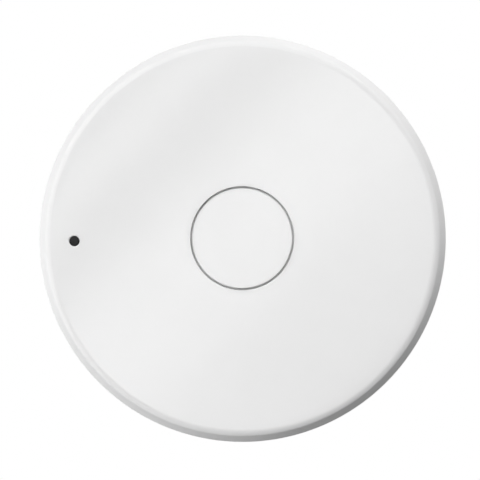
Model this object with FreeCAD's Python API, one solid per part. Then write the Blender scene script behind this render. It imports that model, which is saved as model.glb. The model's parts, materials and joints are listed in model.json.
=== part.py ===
import FreeCAD, Part
import math
import os

V = FreeCAD.Vector

# Wireless light switch module, in millimetres.
# It is drawn as a stack: z is the distance from the wall, x points right and y points up as
# someone facing the wall sees it. At the end each piece is turned once about X, so that the
# saved frame has the wall at Y = 0, the face toward -Y and Z up.
# The origin is the middle of the adhesive pad's face, on the wall.

# Outer shape of the cover
body_diameter = 80.0
dome_rise = 0.6
face_roll_radius = 2.0
face_roll_width = 1.2
bevel_width = 1.2
bevel_angle = 60.0
side_draft = 0.25
skirt_off_wall = 1.0
cover_top_thickness = 2.2
cover_side_wall = 2.0
rear_edge_bevel = 0.3
boss_web_thickness = 1.4

# Wall plate, its pad and its steel discs
pad_radius = 18.0
pad_thickness = 1.0
pad_pocket_depth = 0.6
plate_thickness = 2.2
plate_side_gap = 1.25
plate_edge_bevel = 0.3
wall_slot_radius = 1.9
wall_slot_length = 6.0
wall_screw_head_radius = 3.9
wall_slot_floor = 0.8
wall_slot_edge_land = 1.35
keeper_radius = 5.0
keeper_thickness = 1.0

# Rear housing
seat_gap = 0.3
housing_floor = 1.6
housing_wall = 2.0
housing_side_gap = 0.15
head_relief_depth = 0.9
board_ledge = 1.0
magnet_count = 4
magnet_first_angle = 45.0
magnet_radius = 4.0
magnet_thickness = 2.0
magnet_skin = 0.5
magnet_boss_wall = 1.15
magnet_door_gap = 1.25
grip_count = 3
grip_first_angle = 30.0
grip_radius = 3.0
grip_from_plate_edge = 1.5
grip_pocket_depth = 0.4

# Clearance of a pressed or glued piece in its seat
snug_clearance = 0.02

# How far the shape of a hole or pocket runs on past the surface that it opens
overshoot = 1.0

# Housing screws and their bosses
screw_count = 3
screw_first_angle = 90.0
screw_shank_radius = 1.08
screw_length = 7.0
screw_head_radius = 2.0
screw_head_height = 1.4
screw_head_round = 0.45
screw_tip_radius = 0.27
screw_hole_clearance = 0.25
screw_head_clearance = 0.3
screw_pilot_extra_depth = 0.8
screw_floor_under_head = 1.2
screw_boss_wall = 0.9
screw_boss_overlap = 0.1
screw_boss_height = 1.4
cover_boss_wall = 1.8
cross_recess_depth = 0.7
cross_recess_width = 0.5
cross_recess_length = 2.2

# Button in the middle of the face
button_radius = 9.82
button_gap = 0.38
button_top_thickness = 1.8
button_edge_radius = 0.1
button_flange_width = 1.41
button_flange_thickness = 0.9
button_ear_width = 2.6
button_ear_reach = 1.0
button_slot_clearance = 0.2
button_post_radius = 2.2
button_post_length = 0.8
button_rib_count = 6
button_rib_thickness = 0.8
button_skirt_wall = 1.14
button_travel = 0.5
guide_gap = 0.25
guide_wall = 1.2
guide_spare_length = 0.5

# Return spring under the button
spring_wire_radius = 0.22
spring_skirt_gap = 1.45
spring_rib_gap = 0.25
spring_turns = 3
spring_end_clearance = 0.02

# Status light
led_from_face_edge = 5.8
led_angle = 180.0
lens_radius = 1.0
lens_clearance = 0.03
lens_recess = 0.15
lens_hole_bevel = 0.15
lens_flange_width = 0.7
lens_flange_thickness = 0.6
lens_led_gap = 0.3
led_length = 1.6
led_width = 0.8
led_height = 0.6

# Circuit board
board_thickness = 1.2
board_notch_clearance = 0.4
clamp_rib_count = 6
clamp_rib_first_angle = 0.0
clamp_rib_reach = 1.2
clamp_rib_thickness = 3.0

# Tactile switches
switch_size = 6.0
switch_height = 2.0
switch_frame_thickness = 0.3
switch_wall = 0.6
switch_floor = 0.4
plunger_radius = 1.75
plunger_rise = 0.9
plunger_clearance = 0.1
plunger_flange_thickness = 0.6
snap_dome_radius = 2.1
snap_dome_thickness = 0.08
snap_dome_spare_rise = 0.05
terminal_width = 0.7
terminal_reach = 1.2
terminal_thickness = 0.2
terminal_spacing = 4.5

# Pairing switch and its pusher, on the back of the board
pairing_angle = 270.0
pairing_door_gap = 1.6
pairing_switch_height = 3.2
pairing_travel = 0.25
pusher_radius = 2.0
pusher_gap = 0.2
pusher_recess = 0.3
pusher_edge_radius = 0.3
pusher_flange_width = 0.8
pusher_flange_thickness = 0.8
pusher_flange_gap = 0.05
pusher_guide_wall = 0.8
pusher_guide_spare = 0.3

# Coin cell
cell_radius = 12.25
cell_height = 5.0
cell_can_wall = 0.3
cell_cap_step = 0.35
cell_gasket_width = 1.35

# Battery door and its bayonet
door_thickness = 1.4
door_gap = 0.2
door_edge_bevel = 0.2
door_skirt_wall = 1.35
door_skirt_lip = 0.15
cell_side_gap = 0.3
door_lug_count = 3
door_lug_angle = 24.0
door_lug_reach = 1.3
door_lug_thickness = 0.9
door_lug_clearance = 0.05
door_lug_cover = 0.8
door_turn = 30.0
door_stop_slack = 1.0
door_stop_angle = 4.0
notch_extra_angle = 2.0
ledge_thickness = 1.0
door_boss_wall = 1.4
coin_slot_length = 18.0
coin_slot_width = 2.0
coin_slot_depth = 0.9

# Battery contacts
contact_room = 1.0
contact_thickness = 0.2
contact_angle = 90.0
side_contact_width = 3.0
side_contact_foot = 4.2
side_contact_lean = 0.8
side_contact_lead_in = 0.5
side_contact_end_gap = 0.4
cap_contact_arm_length = 6.0
cap_contact_arm_width = 1.5
cap_contact_arm_spacing = 2.6
cap_contact_foot = 2.5
cap_contact_tip = 1.0

# Parts on the board
shield_length = 14.0
shield_width = 12.0
shield_height = 1.8
shield_wall = 0.2
chip_size = 6.0
chip_height = 0.9
chip_from_shield_end = 4.6
crystal_length = 3.2
crystal_width = 2.5
crystal_height = 0.8
crystal_from_shield_end = 3.4
antenna_length = 7.0
antenna_width = 2.0
antenna_height = 0.8
antenna_from_board_edge = 2.6
bulk_length = 3.5
bulk_width = 2.8
bulk_height = 1.9
bulk_angle = 135.0
bulk_from_board_edge = 4.5
small_part_length = 1.6
small_part_width = 0.8
small_part_height = 0.6
small_part_pitch = 2.6
small_part_guide_gap = 1.5
capacitor_count = 6
resistor_count = 4

# Heights from the wall outward, each resting on the one before
plate_back = pad_thickness - pad_pocket_depth
plate_front = plate_back + plate_thickness
housing_back = plate_front + seat_gap
floor_inside = housing_back + housing_floor
screw_boss_top = floor_inside + screw_boss_height
screw_head_seat = screw_boss_top - screw_floor_under_head
magnet_back = housing_back + magnet_skin
magnet_front = magnet_back + magnet_thickness
door_inside = housing_back + door_thickness
ledge_top = door_inside + ledge_thickness
lug_back = ledge_top + door_lug_clearance
lug_front = lug_back + door_lug_thickness
door_skirt_top = lug_front + door_skirt_lip
door_boss_top = lug_front + door_gap
cell_back = door_inside
cell_front = cell_back + cell_height
board_back = cell_front + contact_room
board_front = board_back + board_thickness
plunger_top = board_front + switch_height + plunger_rise
button_inside = plunger_top + button_post_length
body_depth = button_inside + button_top_thickness
cover_inside = body_depth - cover_top_thickness
pusher_top = floor_inside + pusher_flange_gap + pusher_flange_thickness

# Radii from the outside inward
body_radius = body_diameter / 2
face_edge_radius = body_radius - bevel_width
skirt_inner_radius = body_radius - side_draft - cover_side_wall
plate_radius = skirt_inner_radius - plate_side_gap
grip_circle_radius = plate_radius - grip_from_plate_edge - grip_radius
wall_recess_length = wall_slot_length + 2 * (wall_screw_head_radius - wall_slot_radius)
wall_slot_place = plate_radius - wall_slot_edge_land - wall_recess_length / 2
housing_radius = skirt_inner_radius - housing_side_gap
housing_inner_radius = housing_radius - housing_wall
board_radius = housing_inner_radius + board_ledge
screw_boss_radius = screw_head_radius + screw_head_clearance + screw_boss_wall
screw_circle_radius = housing_inner_radius - screw_boss_radius + screw_boss_overlap
cover_boss_radius = screw_shank_radius + cover_boss_wall
led_circle_radius = face_edge_radius - led_from_face_edge

# Radii from the middle outward
button_hole_radius = button_radius + button_gap
flange_radius = button_radius + button_flange_width
guide_inner_radius = flange_radius + guide_gap
guide_outer_radius = guide_inner_radius + guide_wall
button_skirt_inner = button_radius - button_skirt_wall
spring_radius = button_skirt_inner - spring_skirt_gap - spring_wire_radius
cell_cap_radius = cell_radius - cell_can_wall - cell_gasket_width
skirt_inside_radius = cell_radius + cell_side_gap
skirt_outside_radius = skirt_inside_radius + door_skirt_wall
ledge_inner_radius = skirt_outside_radius + door_gap
lug_radius = skirt_outside_radius + door_lug_reach
door_radius = lug_radius + door_lug_cover
door_pocket_radius = door_radius + door_gap
door_boss_radius = door_pocket_radius + door_boss_wall
magnet_boss_radius = magnet_radius + magnet_boss_wall
magnet_circle_radius = door_boss_radius + magnet_door_gap + magnet_boss_radius
pusher_guide_radius = pusher_radius + pusher_flange_width + pusher_gap
pairing_circle_radius = door_boss_radius + pairing_door_gap + pusher_guide_radius + pusher_guide_wall


def disc(radius, low, high, x=0.0, y=0.0):
    """A round slab from height low to height high."""
    return Part.makeCylinder(radius, high - low, V(x, y, low))


def ring(outer, inner, low, high, x=0.0, y=0.0):
    """A round slab with a round hole through it."""
    return disc(outer, low, high, x, y).cut(disc(inner, low - overshoot, high + overshoot, x, y))


def block(length, width, low, high, x=0.0, y=0.0):
    """A box centred on x, y."""
    return Part.makeBox(length, width, high - low, V(x - length / 2, y - width / 2, low))


def slot(length, radius, low, high, x=0.0, y=0.0):
    """A slab with round ends, its long way along x, measured end to end."""
    straight = length / 2 - radius
    middle = block(2 * straight, 2 * radius, low, high, x, y)
    ends = [disc(radius, low, high, x + side * straight, y) for side in (-1, 1)]
    return joined([middle] + ends)


def sector(outer, inner, low, high, start, sweep):
    """Part of a ring, from angle start over sweep degrees."""
    solid = Part.makeCylinder(outer, high - low, V(0, 0, low), V(0, 0, 1), sweep)
    solid.rotate(V(0, 0, 0), V(0, 0, 1), start)
    return solid.cut(disc(inner, low - overshoot, high + overshoot))


def joined(shapes):
    """One solid made of shapes that touch or overlap."""
    whole = shapes[0].multiFuse(shapes[1:]) if len(shapes) > 1 else shapes[0]
    return whole.removeSplitter()


def group(shapes):
    """Several separate solids kept in one piece list."""
    return Part.makeCompound(shapes)


def rim_edge(solid, height):
    """The round edge of a plain disc at this height."""
    return next(e for e in solid.Edges if len(e.Vertexes) == 1 and abs(e.CenterOfMass.z - height) < 1e-6)


def polar(radius, angle):
    """The x and y of a place at a radius and an angle in degrees."""
    return radius * math.cos(math.radians(angle)), radius * math.sin(math.radians(angle))


def around(count, radius, first):
    """Places spaced evenly on a circle, from the first angle."""
    return [polar(radius, first + 360.0 * i / count) for i in range(count)]


def turned_profile(edges):
    """The solid that a closed outline in the x, z plane makes when it turns about the z axis."""
    face = Part.Face(Part.Wire(edges))
    return face.revolve(V(0, 0, 0), V(0, 0, 1), 360)


def line(a, b):
    """A straight edge between two places given as radius and height."""
    return Part.LineSegment(V(a[0], 0, a[1]), V(b[0], 0, b[1])).toShape()


def arc(a, middle, b):
    """A round edge through three places given as radius and height."""
    return Part.Arc(V(a[0], 0, a[1]), V(middle[0], 0, middle[1]), V(b[0], 0, b[1])).toShape()


class Outline:
    """The cover's outer outline, as radius and height: dome, rolled edge, bevel and side."""

    def __init__(self):
        self.roll_start = face_edge_radius - face_roll_width
        self.dome_radius = (self.roll_start ** 2 + dome_rise ** 2) / (2 * dome_rise)
        self.dome_centre = body_depth - self.dome_radius
        lean = math.asin(self.roll_start / self.dome_radius)
        self.roll_centre = (
            self.roll_start - face_roll_radius * math.sin(lean),
            self.dome_height(self.roll_start) - face_roll_radius * math.cos(lean),
        )
        self.roll_begin = (self.roll_start, self.dome_height(self.roll_start))
        edge_lean = math.asin((face_edge_radius - self.roll_centre[0]) / face_roll_radius)
        self.roll_middle = self.on_roll((lean + edge_lean) / 2)
        self.roll_end = self.on_roll(edge_lean)
        drop = bevel_width * math.tan(math.radians(bevel_angle))
        self.bevel_end = (body_radius, self.roll_end[1] - drop)
        rear_radius = body_radius - side_draft
        self.side_end = (rear_radius, skirt_off_wall + rear_edge_bevel)
        self.rear_end = (rear_radius - rear_edge_bevel, skirt_off_wall)

    def dome_height(self, radius):
        """Height of the domed face at a distance from the middle."""
        return self.dome_centre + math.sqrt(self.dome_radius ** 2 - radius ** 2)

    def on_roll(self, lean):
        """Place on the rolled edge where the surface leans by this angle."""
        return (
            self.roll_centre[0] + face_roll_radius * math.sin(lean),
            self.roll_centre[1] + face_roll_radius * math.cos(lean),
        )

    def dome_edge(self, start, end):
        """The domed face's outline from one radius to another, as a curve that cuts cleanly."""
        stops = [V(r, 0, self.dome_height(r)) for r in (start, (start + end) / 2, end)]
        return Part.Arc(*stops).toBSpline().toShape()


outline = Outline()


def front_cover():
    """The white shell: a domed cup with a hole for the button, guides, ribs and screw bosses."""
    r = button_edge_radius
    rim = outline.dome_height(button_hole_radius)
    shoulder = (button_hole_radius + r, outline.dome_height(button_hole_radius + r))
    corner = (button_hole_radius + r * (1 - math.sqrt(0.5)), rim - r * (1 - math.sqrt(0.5)))
    wall_top = (button_hole_radius, rim - r)
    shell = turned_profile([
        arc(wall_top, corner, shoulder),
        outline.dome_edge(shoulder[0], outline.roll_start),
        arc(outline.roll_begin, outline.roll_middle, outline.roll_end),
        line(outline.roll_end, outline.bevel_end),
        line(outline.bevel_end, outline.side_end),
        line(outline.side_end, outline.rear_end),
        line(outline.rear_end, (skirt_inner_radius, skirt_off_wall)),
        line((skirt_inner_radius, skirt_off_wall), (skirt_inner_radius, cover_inside)),
        line((skirt_inner_radius, cover_inside), (button_hole_radius, cover_inside)),
        line((button_hole_radius, cover_inside), wall_top),
    ])
    inside = [shell, button_guide()]
    for x, y in around(screw_count, screw_circle_radius, screw_first_angle):
        inside.append(disc(cover_boss_radius, screw_boss_top, cover_inside, x, y))
    ribs = [
        (screw_count, screw_first_angle, boss_web_thickness, screw_circle_radius),
        (clamp_rib_count, clamp_rib_first_angle, clamp_rib_thickness, board_radius - clamp_rib_reach),
    ]
    outer = skirt_inner_radius
    for count, first_angle, thickness, inner in ribs:
        sweep = math.degrees(thickness / outer)
        for i in range(count):
            start = first_angle + 360.0 * i / count - sweep / 2
            inside.append(sector(outer, inner, board_front, cover_inside, start, sweep))
    cover = joined(inside)
    cover = cover.cut(lens_hole())
    pilot_radius = screw_shank_radius + snug_clearance
    pilot_top = screw_head_seat + screw_length + screw_pilot_extra_depth
    for x, y in around(screw_count, screw_circle_radius, screw_first_angle):
        cover = cover.cut(disc(pilot_radius, screw_boss_top - overshoot, pilot_top, x, y))
    return cover


def button_guide():
    """The ring inside the shell that guides the button, with two slots for its ears."""
    low = cover_inside - button_flange_thickness - button_travel - guide_spare_length
    guide = ring(guide_outer_radius, guide_inner_radius, low, cover_inside)
    slot_width = button_ear_width + 2 * button_slot_clearance
    slots = block(2 * guide_outer_radius + overshoot, slot_width, low - overshoot, cover_inside + overshoot)
    return guide.cut(slots)


def lens_hole():
    """The space of the light guide's hole, with its bevelled mouth."""
    x, y = polar(led_circle_radius, led_angle)
    hole_radius = lens_radius + lens_clearance
    face = outline.dome_height(led_circle_radius)
    low = cover_inside - overshoot
    high = body_depth + overshoot
    mouth_radius = hole_radius + high - face + lens_hole_bevel
    hole = turned_profile([
        line((0, low), (hole_radius, low)),
        line((hole_radius, low), (hole_radius, face - lens_hole_bevel)),
        line((hole_radius, face - lens_hole_bevel), (mouth_radius, high)),
        line((mouth_radius, high), (0, high)),
        line((0, high), (0, low)),
    ])
    hole.translate(V(x, y, 0))
    return hole


def rear_housing():
    """The tray behind the shell: floor, rim, door ledge, magnet cups, screw bosses, pusher guide."""
    floor = disc(housing_radius, housing_back, floor_inside)
    rim = ring(housing_radius, housing_inner_radius, housing_back, board_back)
    tray = [floor, rim, disc(door_boss_radius, housing_back, door_boss_top)]
    for x, y in around(magnet_count, magnet_circle_radius, magnet_first_angle):
        tray.append(disc(magnet_boss_radius, housing_back, magnet_front, x, y))
    for x, y in around(screw_count, screw_circle_radius, screw_first_angle):
        tray.append(disc(screw_boss_radius, housing_back, screw_boss_top, x, y))
    guide_x, guide_y = polar(pairing_circle_radius, pairing_angle)
    guide_top = pusher_top + pairing_travel + pusher_guide_spare
    guide_wall_radius = pusher_guide_radius + pusher_guide_wall
    tray.append(disc(guide_wall_radius, housing_back, guide_top, guide_x, guide_y))
    housing = joined(tray)

    cuts = [door_pocket_cutter()]
    for x, y in around(magnet_count, magnet_circle_radius, magnet_first_angle):
        cuts.append(disc(magnet_radius + snug_clearance, magnet_back, magnet_front + overshoot, x, y))
    shank_hole_radius = screw_shank_radius + screw_hole_clearance
    head_hole_radius = screw_head_radius + screw_head_clearance
    for x, y in around(screw_count, screw_circle_radius, screw_first_angle):
        cuts.append(disc(shank_hole_radius, housing_back - overshoot, screw_boss_top + overshoot, x, y))
        cuts.append(disc(head_hole_radius, housing_back - overshoot, screw_head_seat, x, y))
    for x, y in around(grip_count, grip_circle_radius, grip_first_angle):
        pocket_top = housing_back + grip_pocket_depth
        cuts.append(disc(grip_radius + snug_clearance, housing_back - overshoot, pocket_top, x, y))
    relief_top = housing_back + head_relief_depth
    for side in (-1, 1):
        cuts.append(wall_screw_slot(wall_screw_head_radius, housing_back - overshoot, relief_top, side))
    cuts.append(disc(pusher_guide_radius, floor_inside, guide_top + overshoot, guide_x, guide_y))
    way_radius = pusher_radius + pusher_gap
    cuts.append(disc(way_radius, housing_back - overshoot, floor_inside + overshoot, guide_x, guide_y))
    for cutter in cuts:
        housing = housing.cut(cutter)
    stops = [housing]
    for i in range(door_lug_count):
        middle = 360.0 * i / door_lug_count
        half = door_lug_angle / 2 + door_stop_slack
        closed_stop = middle + half
        open_stop = middle - door_turn - half - door_stop_angle
        for start in (closed_stop, open_stop):
            inner = lug_radius - door_lug_reach / 2
            stops.append(sector(door_boss_radius, inner, ledge_top, door_boss_top, start, door_stop_angle))
    return joined(stops)


def door_pocket_cutter():
    """The space for the door: its pocket, the round way through, three notches and the lug track."""
    pocket = disc(door_pocket_radius, housing_back - overshoot, door_inside)
    way = disc(ledge_inner_radius, housing_back - overshoot, door_boss_top + overshoot)
    track = disc(door_pocket_radius, ledge_top, door_boss_top + overshoot)
    spaces = [pocket, way, track]
    notch_angle = door_lug_angle + 2 * notch_extra_angle
    outer = lug_radius + door_gap
    inner = ledge_inner_radius - overshoot
    low = housing_back - overshoot
    for i in range(door_lug_count):
        start = 360.0 * i / door_lug_count - door_turn - notch_angle / 2
        spaces.append(sector(outer, inner, low, ledge_top + overshoot, start, notch_angle))
    return joined(spaces)


def wall_screw_slot(radius, low, high, side):
    """The space that a wall screw's shank or head, of this radius, sweeps along its slot."""
    length = wall_slot_length + 2 * (radius - wall_slot_radius)
    return slot(length, radius, low, high, side * wall_slot_place, 0)


def housing_screws():
    """Three pan-head self-tapping screws, driven from behind."""
    screws = []
    head_low = screw_head_seat - screw_head_height
    for x, y in around(screw_count, screw_circle_radius, screw_first_angle):
        head = disc(screw_head_radius, head_low, screw_head_seat, x, y)
        head = head.makeFillet(screw_head_round, [rim_edge(head, head_low)])
        shank_end = screw_head_seat + screw_length
        shank = disc(screw_shank_radius, screw_head_seat, shank_end - screw_shank_radius, x, y)
        tip = Part.makeCone(
            screw_shank_radius,
            screw_tip_radius,
            screw_shank_radius,
            V(x, y, shank_end - screw_shank_radius),
        )
        screw = joined([head, shank, tip])
        for turn in (0, 90):
            recess_top = head_low + cross_recess_depth
            cutter = block(cross_recess_length, cross_recess_width, head_low - overshoot, recess_top, x, y)
            cutter.rotate(V(x, y, 0), V(0, 0, 1), turn)
            screw = screw.cut(cutter)
        screws.append(screw)
    return group(screws)


def housing_magnets():
    """Four disc magnets in their cups."""
    places = around(magnet_count, magnet_circle_radius, magnet_first_angle)
    return group([disc(magnet_radius, magnet_back, magnet_front, x, y) for x, y in places])


def grip_pads():
    """Three silicone pads that stand proud of the housing and rest on the wall plate."""
    places = around(grip_count, grip_circle_radius, grip_first_angle)
    top = housing_back + grip_pocket_depth
    return group([disc(grip_radius, plate_front, top, x, y) for x, y in places])


def wall_plate():
    """The round plate on the wall, with two screw slots, a pad pocket and four steel disc pockets."""
    plate = disc(plate_radius, plate_back, plate_front)
    rims = [rim_edge(plate, plate_back), rim_edge(plate, plate_front)]
    plate = plate.makeChamfer(plate_edge_bevel, rims)
    plate = plate.cut(disc(pad_radius + snug_clearance, 0, pad_thickness))
    for side in (-1, 1):
        plate = plate.cut(wall_screw_slot(wall_slot_radius, 0, plate_front + overshoot, side))
        recess_low = plate_back + wall_slot_floor
        plate = plate.cut(wall_screw_slot(wall_screw_head_radius, recess_low, plate_front + overshoot, side))
    for x, y in around(magnet_count, magnet_circle_radius, magnet_first_angle):
        keeper_low = plate_front - keeper_thickness
        plate = plate.cut(disc(keeper_radius + snug_clearance, keeper_low, plate_front + overshoot, x, y))
    return plate


def adhesive_pad():
    """The foam pad, in its shallow pocket behind the plate."""
    return disc(pad_radius, 0, pad_thickness)


def keeper_discs():
    """Four steel discs, flush with the plate's front."""
    places = around(magnet_count, magnet_circle_radius, magnet_first_angle)
    return group([disc(keeper_radius, plate_front - keeper_thickness, plate_front, x, y) for x, y in places])


def button_cap():
    """The round cap: domed top, skirt, retaining flange with ears, ribs and the post over the switch."""
    rim = outline.dome_height(button_radius)
    r = button_edge_radius
    top = outline.dome_height(0)
    shoulder = (button_radius - r, outline.dome_height(button_radius - r))
    middle = (button_radius - r * (1 - math.sqrt(0.5)), rim - r * (1 - math.sqrt(0.5)))
    flange_low = cover_inside - button_flange_thickness
    shell = turned_profile([
        outline.dome_edge(0, button_radius - r),
        arc(shoulder, middle, (button_radius, rim - r)),
        line((button_radius, rim - r), (button_radius, cover_inside)),
        line((button_radius, cover_inside), (flange_radius, cover_inside)),
        line((flange_radius, cover_inside), (flange_radius, flange_low)),
        line((flange_radius, flange_low), (button_skirt_inner, flange_low)),
        line((button_skirt_inner, flange_low), (button_skirt_inner, button_inside)),
        line((button_skirt_inner, button_inside), (0, button_inside)),
        line((0, button_inside), (0, top)),
    ])
    pieces = [shell, disc(button_post_radius, plunger_top, button_inside)]
    ears = block(2 * (flange_radius + button_ear_reach), button_ear_width, flange_low, cover_inside)
    skirt_middle = button_radius - button_skirt_wall / 2
    pieces.append(ears.cut(disc(skirt_middle, flange_low - overshoot, cover_inside + overshoot)))
    rib_start = button_post_radius / 2
    rib_end = spring_radius - spring_wire_radius - spring_rib_gap
    rib_middle = (rib_start + rib_end) / 2
    for i in range(button_rib_count):
        rib = block(rib_end - rib_start, button_rib_thickness, plunger_top, button_inside, rib_middle, 0)
        rib.rotate(V(0, 0, 0), V(0, 0, 1), 360.0 * i / button_rib_count)
        pieces.append(rib)
    return joined(pieces)


def return_spring():
    """The coil spring between the board and the underside of the cap, on a wide circle."""
    low = board_front + spring_wire_radius + spring_end_clearance
    high = button_inside - spring_wire_radius - spring_end_clearance
    quarters = 4 * spring_turns
    rise = (high - low) / quarters
    climb = rise / (math.pi / 2 * spring_radius)
    places = []
    headings = []
    for i in range(quarters + 1):
        x, y = polar(1, 90 * i)
        places.append(V(spring_radius * x, spring_radius * y, low + i * rise))
        headings.append(V(-y, x, climb).normalize())
    path = []
    for i in range(quarters):
        path += two_arcs(places[i], headings[i], places[i + 1], headings[i + 1])
    section = Part.Circle(places[0], headings[0], spring_wire_radius)
    return Part.Wire(path).makePipeShell([Part.Wire([section.toShape()])], True, False)


def two_arcs(start, start_heading, end, end_heading):
    """Two round edges, joined smoothly, that lead from one place and heading to another."""
    span = end - start
    a = 2 * (1 - start_heading.dot(end_heading))
    b = 2 * span.dot(start_heading + end_heading)
    reach = (math.sqrt(b ** 2 + 4 * a * span.dot(span)) - b) / (2 * a)
    first_corner = start + start_heading * reach
    last_corner = end - end_heading * reach
    middle = (first_corner + last_corner) / 2
    return [bend(start, first_corner, middle), bend(middle, last_corner, end)]


def bend(start, corner, end):
    """A round edge from start to end, tangent to the lines that meet at the corner between them."""
    chord_middle = (start + end) / 2
    half_turn = (corner - start).getAngle(end - corner) / 2
    share = math.tan(half_turn / 2) / math.tan(half_turn)
    crown = chord_middle + (corner - chord_middle) * share
    return Part.Arc(start, crown, end).toShape()


def tact_switch(height, travel, plunger_end):
    """The pieces of a tactile switch that stands on z = 0: body, frame, dome, plunger and terminals."""
    frame_low = height - switch_frame_thickness
    hollow_radius = switch_size / 2 - switch_wall
    body = block(switch_size, switch_size, 0, frame_low)
    body = body.cut(disc(hollow_radius, switch_floor, height))
    frame = block(switch_size, switch_size, frame_low, height)
    frame = frame.cut(disc(plunger_radius + plunger_clearance, -overshoot, height + overshoot))
    rise = travel + snap_dome_spare_rise
    plunger = disc(plunger_radius, switch_floor + rise, plunger_end)
    flange_radius = hollow_radius - plunger_clearance
    flange = disc(flange_radius, frame_low - plunger_flange_thickness, frame_low)
    terminals = []
    for side in (-1, 1):
        for end in (-1, 1):
            x = end * (switch_size + terminal_reach) / 2
            y = side * terminal_spacing / 2
            terminals.append(block(terminal_reach, terminal_width, 0, terminal_thickness, x, y))
    return {
        "body": body,
        "frame": frame,
        "dome": snap_dome(rise),
        "plunger": joined([plunger, flange]),
        "terminals": group(terminals),
    }


def snap_dome(rise):
    """The thin spring dome on a switch's floor, as a cap of a hollow ball."""
    ball_radius = (snap_dome_radius ** 2 + rise ** 2) / (2 * rise)
    centre = V(0, 0, switch_floor + rise - ball_radius)
    ball = Part.makeSphere(ball_radius, centre)
    hollow = Part.makeSphere(ball_radius - snap_dome_thickness, centre)
    return ball.cut(hollow).common(disc(snap_dome_radius, switch_floor, switch_floor + rise + overshoot))


def main_switch():
    """The switch under the button, on the front of the board."""
    parts = tact_switch(switch_height, button_travel, plunger_top - board_front)
    for shape in parts.values():
        shape.translate(V(0, 0, board_front))
    return parts


def pairing_switch():
    """The switch behind the pairing pusher, upside down on the back of the board."""
    parts = tact_switch(pairing_switch_height, pairing_travel, board_back - pusher_top)
    x, y = polar(pairing_circle_radius, pairing_angle)
    for shape in parts.values():
        shape.rotate(V(0, 0, 0), V(1, 0, 0), 180)
        shape.translate(V(x, y, board_back))
    return parts


def pairing_button():
    """The small pusher, pressed from behind, held in by its flange."""
    x, y = polar(pairing_circle_radius, pairing_angle)
    low = housing_back + pusher_recess
    stem = disc(pusher_radius, low, pusher_top, x, y)
    stem = stem.makeFillet(pusher_edge_radius, [rim_edge(stem, low)])
    flange_low = floor_inside + pusher_flange_gap
    return joined([stem, disc(pusher_radius + pusher_flange_width, flange_low, pusher_top, x, y)])


def circuit_board():
    """The round board, notched for the cover's screw bosses."""
    board = disc(board_radius, board_back, board_front)
    notch_radius = cover_boss_radius + board_notch_clearance
    reach = 2 * (board_radius - screw_circle_radius)
    low = board_back - overshoot
    high = board_front + overshoot
    for i in range(screw_count):
        notch = joined([
            disc(notch_radius, low, high, screw_circle_radius, 0),
            block(reach, 2 * notch_radius, low, high, screw_circle_radius + reach / 2, 0),
        ])
        notch.rotate(V(0, 0, 0), V(0, 0, 1), screw_first_angle + 360.0 * i / screw_count)
        board = board.cut(notch)
    return board


def led_lens():
    """The smoked light guide: a thin rod in the cover with a flange inside it."""
    x, y = polar(led_circle_radius, led_angle)
    top = outline.dome_height(led_circle_radius) - lens_recess
    low = board_front + led_height + lens_led_gap
    rod = disc(lens_radius, low, top, x, y)
    flange_low = cover_inside - lens_flange_thickness
    flange = disc(lens_radius + lens_flange_width, flange_low, cover_inside, x, y)
    return joined([rod, flange])


def status_led():
    """The light-emitting diode under the light guide."""
    x, y = polar(led_circle_radius, led_angle)
    return block(led_length, led_width, board_front, board_front + led_height, x, y)


def antenna_start():
    """The antenna's inner side, set back from the board's edge."""
    return board_radius - antenna_from_board_edge - antenna_width


def shield_start():
    """Where the radio's metal can begins: it sits midway between the button's guide and the antenna."""
    return (guide_outer_radius + antenna_start() - shield_length) / 2


def radio_shield():
    """The pressed metal can over the radio."""
    top = board_front + shield_height
    x = shield_start() + shield_length / 2
    can = block(shield_length, shield_width, board_front, top, x)
    inner_length = shield_length - 2 * shield_wall
    inner_width = shield_width - 2 * shield_wall
    return can.cut(block(inner_length, inner_width, board_front - overshoot, top - shield_wall, x))


def radio_chip():
    """The controller and radio chip under the can."""
    x = shield_start() + chip_from_shield_end
    return block(chip_size, chip_size, board_front, board_front + chip_height, x)


def crystal():
    """The clock crystal beside the radio chip."""
    x = shield_start() + shield_length - crystal_from_shield_end
    return block(crystal_width, crystal_length, board_front, board_front + crystal_height, x)


def chip_antenna():
    """The ceramic antenna at the board's edge."""
    x = antenna_start() + antenna_width / 2
    return block(antenna_width, antenna_length, board_front, board_front + antenna_height, x)


def part_row(count, side):
    """A row of small chip parts on the front of the board, above or below the button's guide."""
    first = -(count - 1) / 2
    top = board_front + small_part_height
    y = side * (guide_outer_radius + small_part_guide_gap + small_part_length / 2)
    places = [(first + i) * small_part_pitch for i in range(count)]
    return group([block(small_part_width, small_part_length, board_front, top, x, y) for x in places])


def bulk_capacitor():
    """The larger capacitor on the back of the board that steadies the cell's voltage."""
    x, y = polar(board_radius - bulk_from_board_edge, bulk_angle)
    return block(bulk_length, bulk_width, board_back - bulk_height, board_back, x, y)


def cell_can():
    """The coin cell's steel cup, positive, toward the door."""
    cup_top = cell_front - cell_cap_step
    cup = disc(cell_radius, cell_back, cup_top)
    cup = cup.makeFillet(cell_can_wall, [rim_edge(cup, cell_back)])
    inside = disc(cell_radius - cell_can_wall, cell_back + cell_can_wall, cup_top + overshoot)
    return cup.cut(inside)


def cell_core():
    """The cathode pellet and lithium disc sealed inside."""
    radius = cell_cap_radius - cell_can_wall
    return disc(radius, cell_back + cell_can_wall, cell_front - cell_can_wall)


def cell_gasket():
    """The plastic ring that parts the cup from the cap."""
    outer = cell_radius - cell_can_wall
    return ring(outer, cell_cap_radius, cell_back + cell_can_wall, cell_front - cell_cap_step)


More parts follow.
